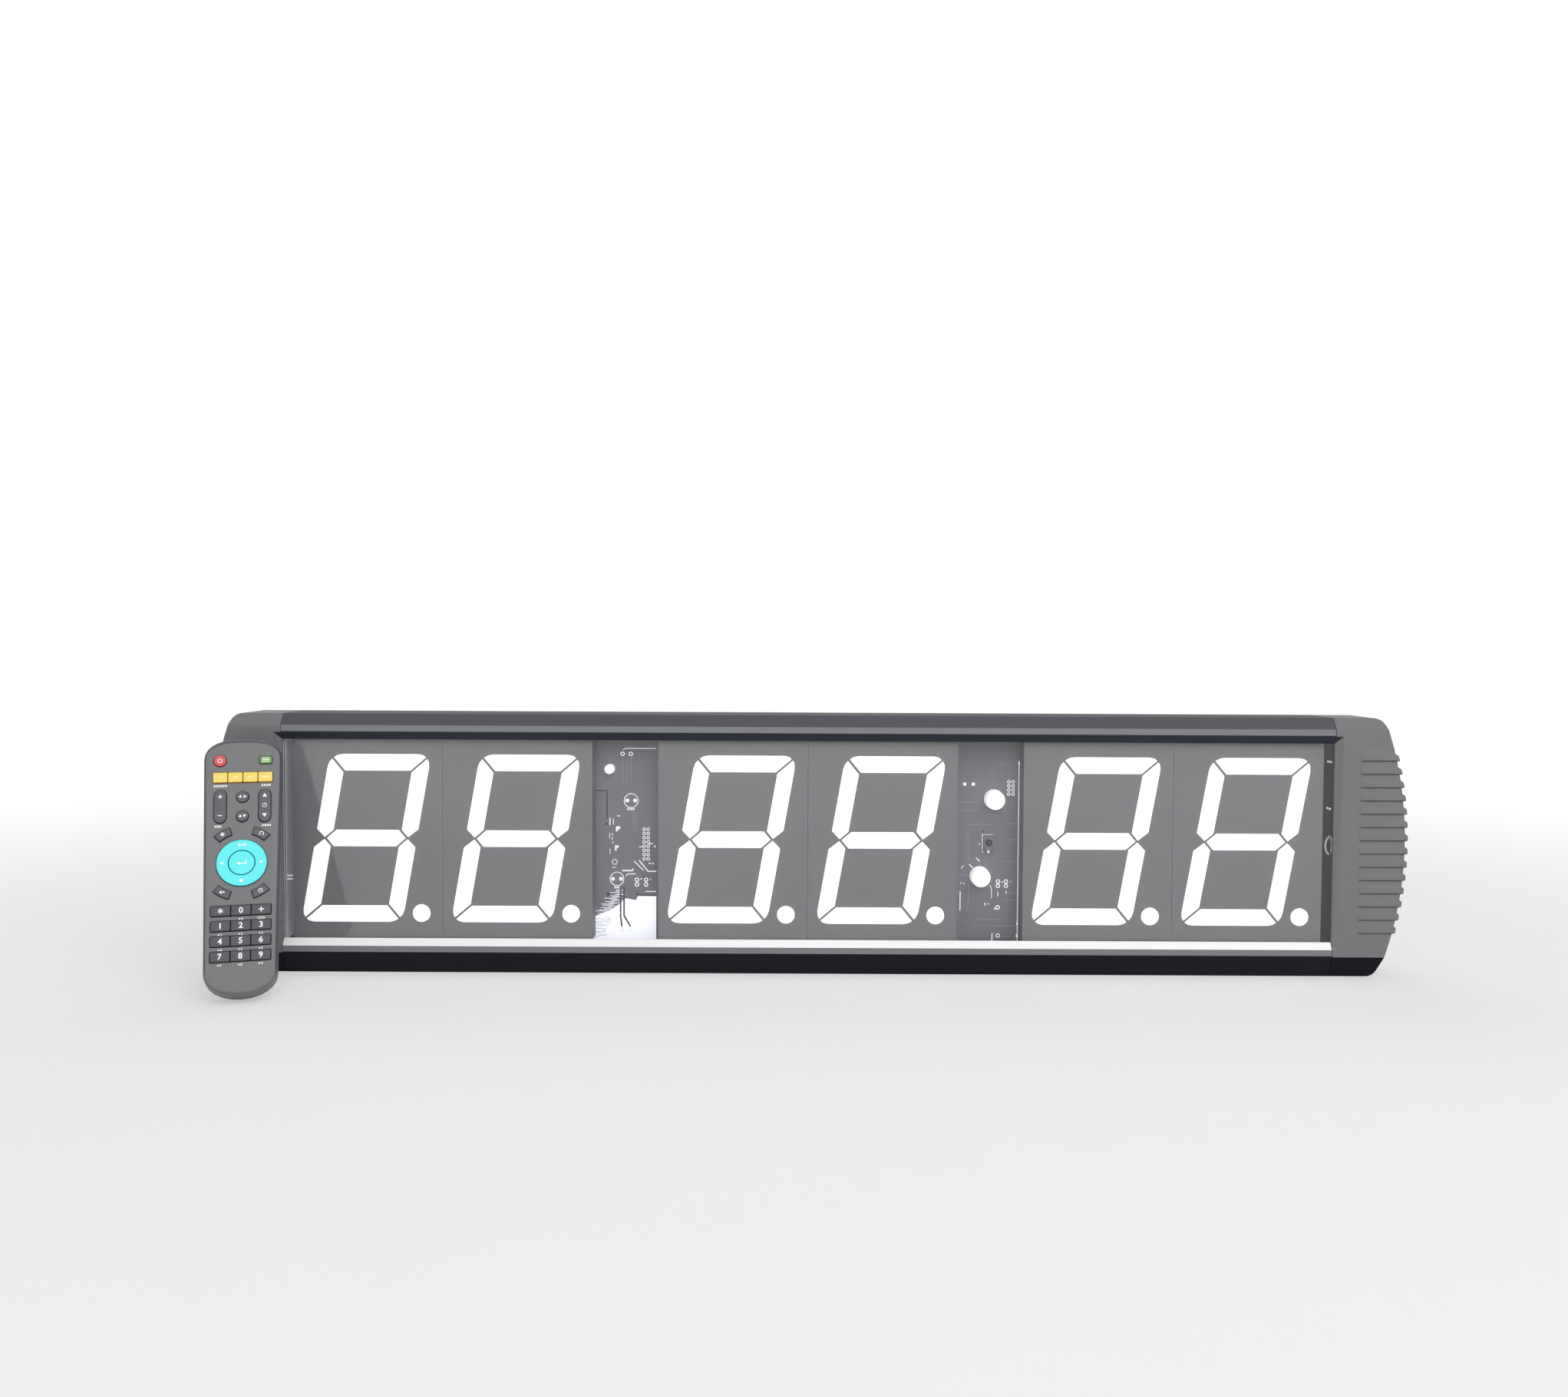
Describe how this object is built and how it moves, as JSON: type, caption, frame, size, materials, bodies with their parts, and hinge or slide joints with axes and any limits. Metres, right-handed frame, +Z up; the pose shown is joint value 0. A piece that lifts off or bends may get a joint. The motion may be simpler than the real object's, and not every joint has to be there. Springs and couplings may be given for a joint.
{
  "type": "digital wall timer",
  "caption": "Large-digit wall timer in a slim extruded case with ribbed end caps, and its leaning remote with separate keys.",
  "frame": {"origin": "middle of the case's flat underside, on the floor that the timer and the remote stand on", "axes": "+Z up, the display faces -Y, +X is to the viewer's right; +Y points at the wall"},
  "size_m": [0.7162, 0.1188, 0.156],
  "materials": {
    "grey_anodised": "satin grey anodised or painted extrusion",
    "grey_plastic": "fine matt moulding",
    "smoked_window": "clear polished sheet with a faint smoke tint",
    "screw_steel": "plain zinc-plated",
    "dark_board": "satin grey solder mask",
    "module_grey": "printed grey front, matt",
    "milk_white": "milky diffusing resin",
    "receiver_black": "dark infrared filter resin",
    "black_plastic": "plain moulding",
    "remote_plastic": "satin moulding",
    "green_board": "satin green solder mask",
    "battery_wrap": "glossy printed sleeve",
    "key_rubber_dark": "soft satin",
    "key_rubber_red": "soft satin",
    "key_rubber_green": "soft satin",
    "key_rubber_yellow": "soft satin",
    "key_rubber_cyan": "soft satin"
  },
  "bodies": {
    "timer": {"case_extrusion": "grey_anodised", "front_window": "smoked_window", "end_cap_left": "grey_plastic", "end_cap_right": "grey_plastic", "cap_screw_left_upper": "screw_steel", "cap_screw_left_lower": "screw_steel", "cap_screw_right_upper": "screw_steel", "cap_screw_right_lower": "screw_steel", "display_board": "dark_board", "digit_shell_1": "module_grey", "digit_shell_2": "module_grey", "digit_shell_3": "module_grey", "digit_shell_4": "module_grey", "digit_shell_5": "module_grey", "digit_shell_6": "module_grey", "digit_fill_1": "milk_white", "digit_fill_2": "milk_white", "digit_fill_3": "milk_white", "digit_fill_4": "milk_white", "digit_fill_5": "milk_white", "digit_fill_6": "milk_white", "colon_lamp_upper": "milk_white", "colon_lamp_lower": "milk_white", "status_lamp": "milk_white", "ir_receiver": "receiver_black", "dc_jack": "black_plastic"},
    "remote": {"remote_front_shell": "remote_plastic", "remote_back_shell": "remote_plastic", "remote_board": "green_board", "battery_1": "battery_wrap", "battery_2": "battery_wrap"},
    "battery_door": {"battery_door": "remote_plastic"},
    "key_power": {"key_power": "key_rubber_red"},
    "key_edit": {"key_edit": "key_rubber_green"},
    "key_colour_1": {"key_colour_1": "key_rubber_yellow"},
    "key_colour_2": {"key_colour_2": "key_rubber_yellow"},
    "key_colour_3": {"key_colour_3": "key_rubber_yellow"},
    "key_colour_4": {"key_colour_4": "key_rubber_yellow"},
    "key_round_upper": {"key_round_upper": "key_rubber_dark"},
    "key_round_lower": {"key_round_lower": "key_rubber_dark"},
    "key_corner_1": {"key_corner_1": "key_rubber_dark"},
    "key_corner_2": {"key_corner_2": "key_rubber_dark"},
    "key_corner_3": {"key_corner_3": "key_rubber_dark"},
    "key_corner_4": {"key_corner_4": "key_rubber_dark"},
    "key_ring": {"key_ring": "key_rubber_cyan"},
    "key_centre": {"key_centre": "key_rubber_cyan"},
    "key_star": {"key_star": "key_rubber_dark"},
    "key_0": {"key_0": "key_rubber_dark"},
    "key_plus": {"key_plus": "key_rubber_dark"},
    "key_1": {"key_1": "key_rubber_dark"},
    "key_2": {"key_2": "key_rubber_dark"},
    "key_3": {"key_3": "key_rubber_dark"},
    "key_4": {"key_4": "key_rubber_dark"},
    "key_5": {"key_5": "key_rubber_dark"},
    "key_6": {"key_6": "key_rubber_dark"},
    "key_7": {"key_7": "key_rubber_dark"},
    "key_8": {"key_8": "key_rubber_dark"},
    "key_9": {"key_9": "key_rubber_dark"},
    "key_left_rocker": {"key_left_rocker": "key_rubber_dark"},
    "key_right_rocker": {"key_right_rocker": "key_rubber_dark"}
  },
  "joints": [
    {"name": "remote_lift", "type": "slide", "parent": "timer", "child": "remote", "axis": [0, 0, 1], "range_m": [0, 0.35]},
    {"name": "battery_door_slide", "type": "slide", "parent": "remote", "child": "battery_door", "axis": [-0.2834, 0.8722, -0.3987], "range_m": [0, 0.012]},
    {"name": "key_power_press", "type": "slide", "parent": "remote", "child": "key_power", "axis": [-0.2834, 0.8722, -0.3987], "range_m": [0, 0.0008], "stiffness_N_per_m": 300},
    {"name": "key_edit_press", "type": "slide", "parent": "remote", "child": "key_edit", "axis": [-0.2834, 0.8722, -0.3987], "range_m": [0, 0.0008], "stiffness_N_per_m": 300},
    {"name": "key_colour_1_press", "type": "slide", "parent": "remote", "child": "key_colour_1", "axis": [-0.2834, 0.8722, -0.3987], "range_m": [0, 0.0008], "stiffness_N_per_m": 300},
    {"name": "key_colour_2_press", "type": "slide", "parent": "remote", "child": "key_colour_2", "axis": [-0.2834, 0.8722, -0.3987], "range_m": [0, 0.0008], "stiffness_N_per_m": 300},
    {"name": "key_colour_3_press", "type": "slide", "parent": "remote", "child": "key_colour_3", "axis": [-0.2834, 0.8722, -0.3987], "range_m": [0, 0.0008], "stiffness_N_per_m": 300},
    {"name": "key_colour_4_press", "type": "slide", "parent": "remote", "child": "key_colour_4", "axis": [-0.2834, 0.8722, -0.3987], "range_m": [0, 0.0008], "stiffness_N_per_m": 300},
    {"name": "key_round_upper_press", "type": "slide", "parent": "remote", "child": "key_round_upper", "axis": [-0.2834, 0.8722, -0.3987], "range_m": [0, 0.0008], "stiffness_N_per_m": 300},
    {"name": "key_round_lower_press", "type": "slide", "parent": "remote", "child": "key_round_lower", "axis": [-0.2834, 0.8722, -0.3987], "range_m": [0, 0.0008], "stiffness_N_per_m": 300},
    {"name": "key_corner_1_press", "type": "slide", "parent": "remote", "child": "key_corner_1", "axis": [-0.2834, 0.8722, -0.3987], "range_m": [0, 0.0008], "stiffness_N_per_m": 300},
    {"name": "key_corner_2_press", "type": "slide", "parent": "remote", "child": "key_corner_2", "axis": [-0.2834, 0.8722, -0.3987], "range_m": [0, 0.0008], "stiffness_N_per_m": 300},
    {"name": "key_corner_3_press", "type": "slide", "parent": "remote", "child": "key_corner_3", "axis": [-0.2834, 0.8722, -0.3987], "range_m": [0, 0.0008], "stiffness_N_per_m": 300},
    {"name": "key_corner_4_press", "type": "slide", "parent": "remote", "child": "key_corner_4", "axis": [-0.2834, 0.8722, -0.3987], "range_m": [0, 0.0008], "stiffness_N_per_m": 300},
    {"name": "key_ring_press", "type": "slide", "parent": "remote", "child": "key_ring", "axis": [-0.2834, 0.8722, -0.3987], "range_m": [0, 0.0008], "stiffness_N_per_m": 300},
    {"name": "key_centre_press", "type": "slide", "parent": "remote", "child": "key_centre", "axis": [-0.2834, 0.8722, -0.3987], "range_m": [0, 0.0008], "stiffness_N_per_m": 300},
    {"name": "key_star_press", "type": "slide", "parent": "remote", "child": "key_star", "axis": [-0.2834, 0.8722, -0.3987], "range_m": [0, 0.0008], "stiffness_N_per_m": 300},
    {"name": "key_0_press", "type": "slide", "parent": "remote", "child": "key_0", "axis": [-0.2834, 0.8722, -0.3987], "range_m": [0, 0.0008], "stiffness_N_per_m": 300},
    {"name": "key_plus_press", "type": "slide", "parent": "remote", "child": "key_plus", "axis": [-0.2834, 0.8722, -0.3987], "range_m": [0, 0.0008], "stiffness_N_per_m": 300},
    {"name": "key_1_press", "type": "slide", "parent": "remote", "child": "key_1", "axis": [-0.2834, 0.8722, -0.3987], "range_m": [0, 0.0008], "stiffness_N_per_m": 300},
    {"name": "key_2_press", "type": "slide", "parent": "remote", "child": "key_2", "axis": [-0.2834, 0.8722, -0.3987], "range_m": [0, 0.0008], "stiffness_N_per_m": 300},
    {"name": "key_3_press", "type": "slide", "parent": "remote", "child": "key_3", "axis": [-0.2834, 0.8722, -0.3987], "range_m": [0, 0.0008], "stiffness_N_per_m": 300},
    {"name": "key_4_press", "type": "slide", "parent": "remote", "child": "key_4", "axis": [-0.2834, 0.8722, -0.3987], "range_m": [0, 0.0008], "stiffness_N_per_m": 300},
    {"name": "key_5_press", "type": "slide", "parent": "remote", "child": "key_5", "axis": [-0.2834, 0.8722, -0.3987], "range_m": [0, 0.0008], "stiffness_N_per_m": 300},
    {"name": "key_6_press", "type": "slide", "parent": "remote", "child": "key_6", "axis": [-0.2834, 0.8722, -0.3987], "range_m": [0, 0.0008], "stiffness_N_per_m": 300},
    {"name": "key_7_press", "type": "slide", "parent": "remote", "child": "key_7", "axis": [-0.2834, 0.8722, -0.3987], "range_m": [0, 0.0008], "stiffness_N_per_m": 300},
    {"name": "key_8_press", "type": "slide", "parent": "remote", "child": "key_8", "axis": [-0.2834, 0.8722, -0.3987], "range_m": [0, 0.0008], "stiffness_N_per_m": 300},
    {"name": "key_9_press", "type": "slide", "parent": "remote", "child": "key_9", "axis": [-0.2834, 0.8722, -0.3987], "range_m": [0, 0.0008], "stiffness_N_per_m": 300},
    {"name": "key_left_rocker_rock", "type": "hinge", "parent": "remote", "child": "key_left_rocker", "pos_m": [-0.33519, -0.05879, 0.10468], "axis": [0.9511, 0.309, 0], "range_deg": [-2.5, 2.5], "stiffness_Nm_per_rad": 0.02},
    {"name": "key_right_rocker_rock", "type": "hinge", "parent": "remote", "child": "key_right_rocker", "pos_m": [-0.31255, -0.05143, 0.10468], "axis": [0.9511, 0.309, 0], "range_deg": [-2.5, 2.5], "stiffness_Nm_per_rad": 0.02}
  ]
}
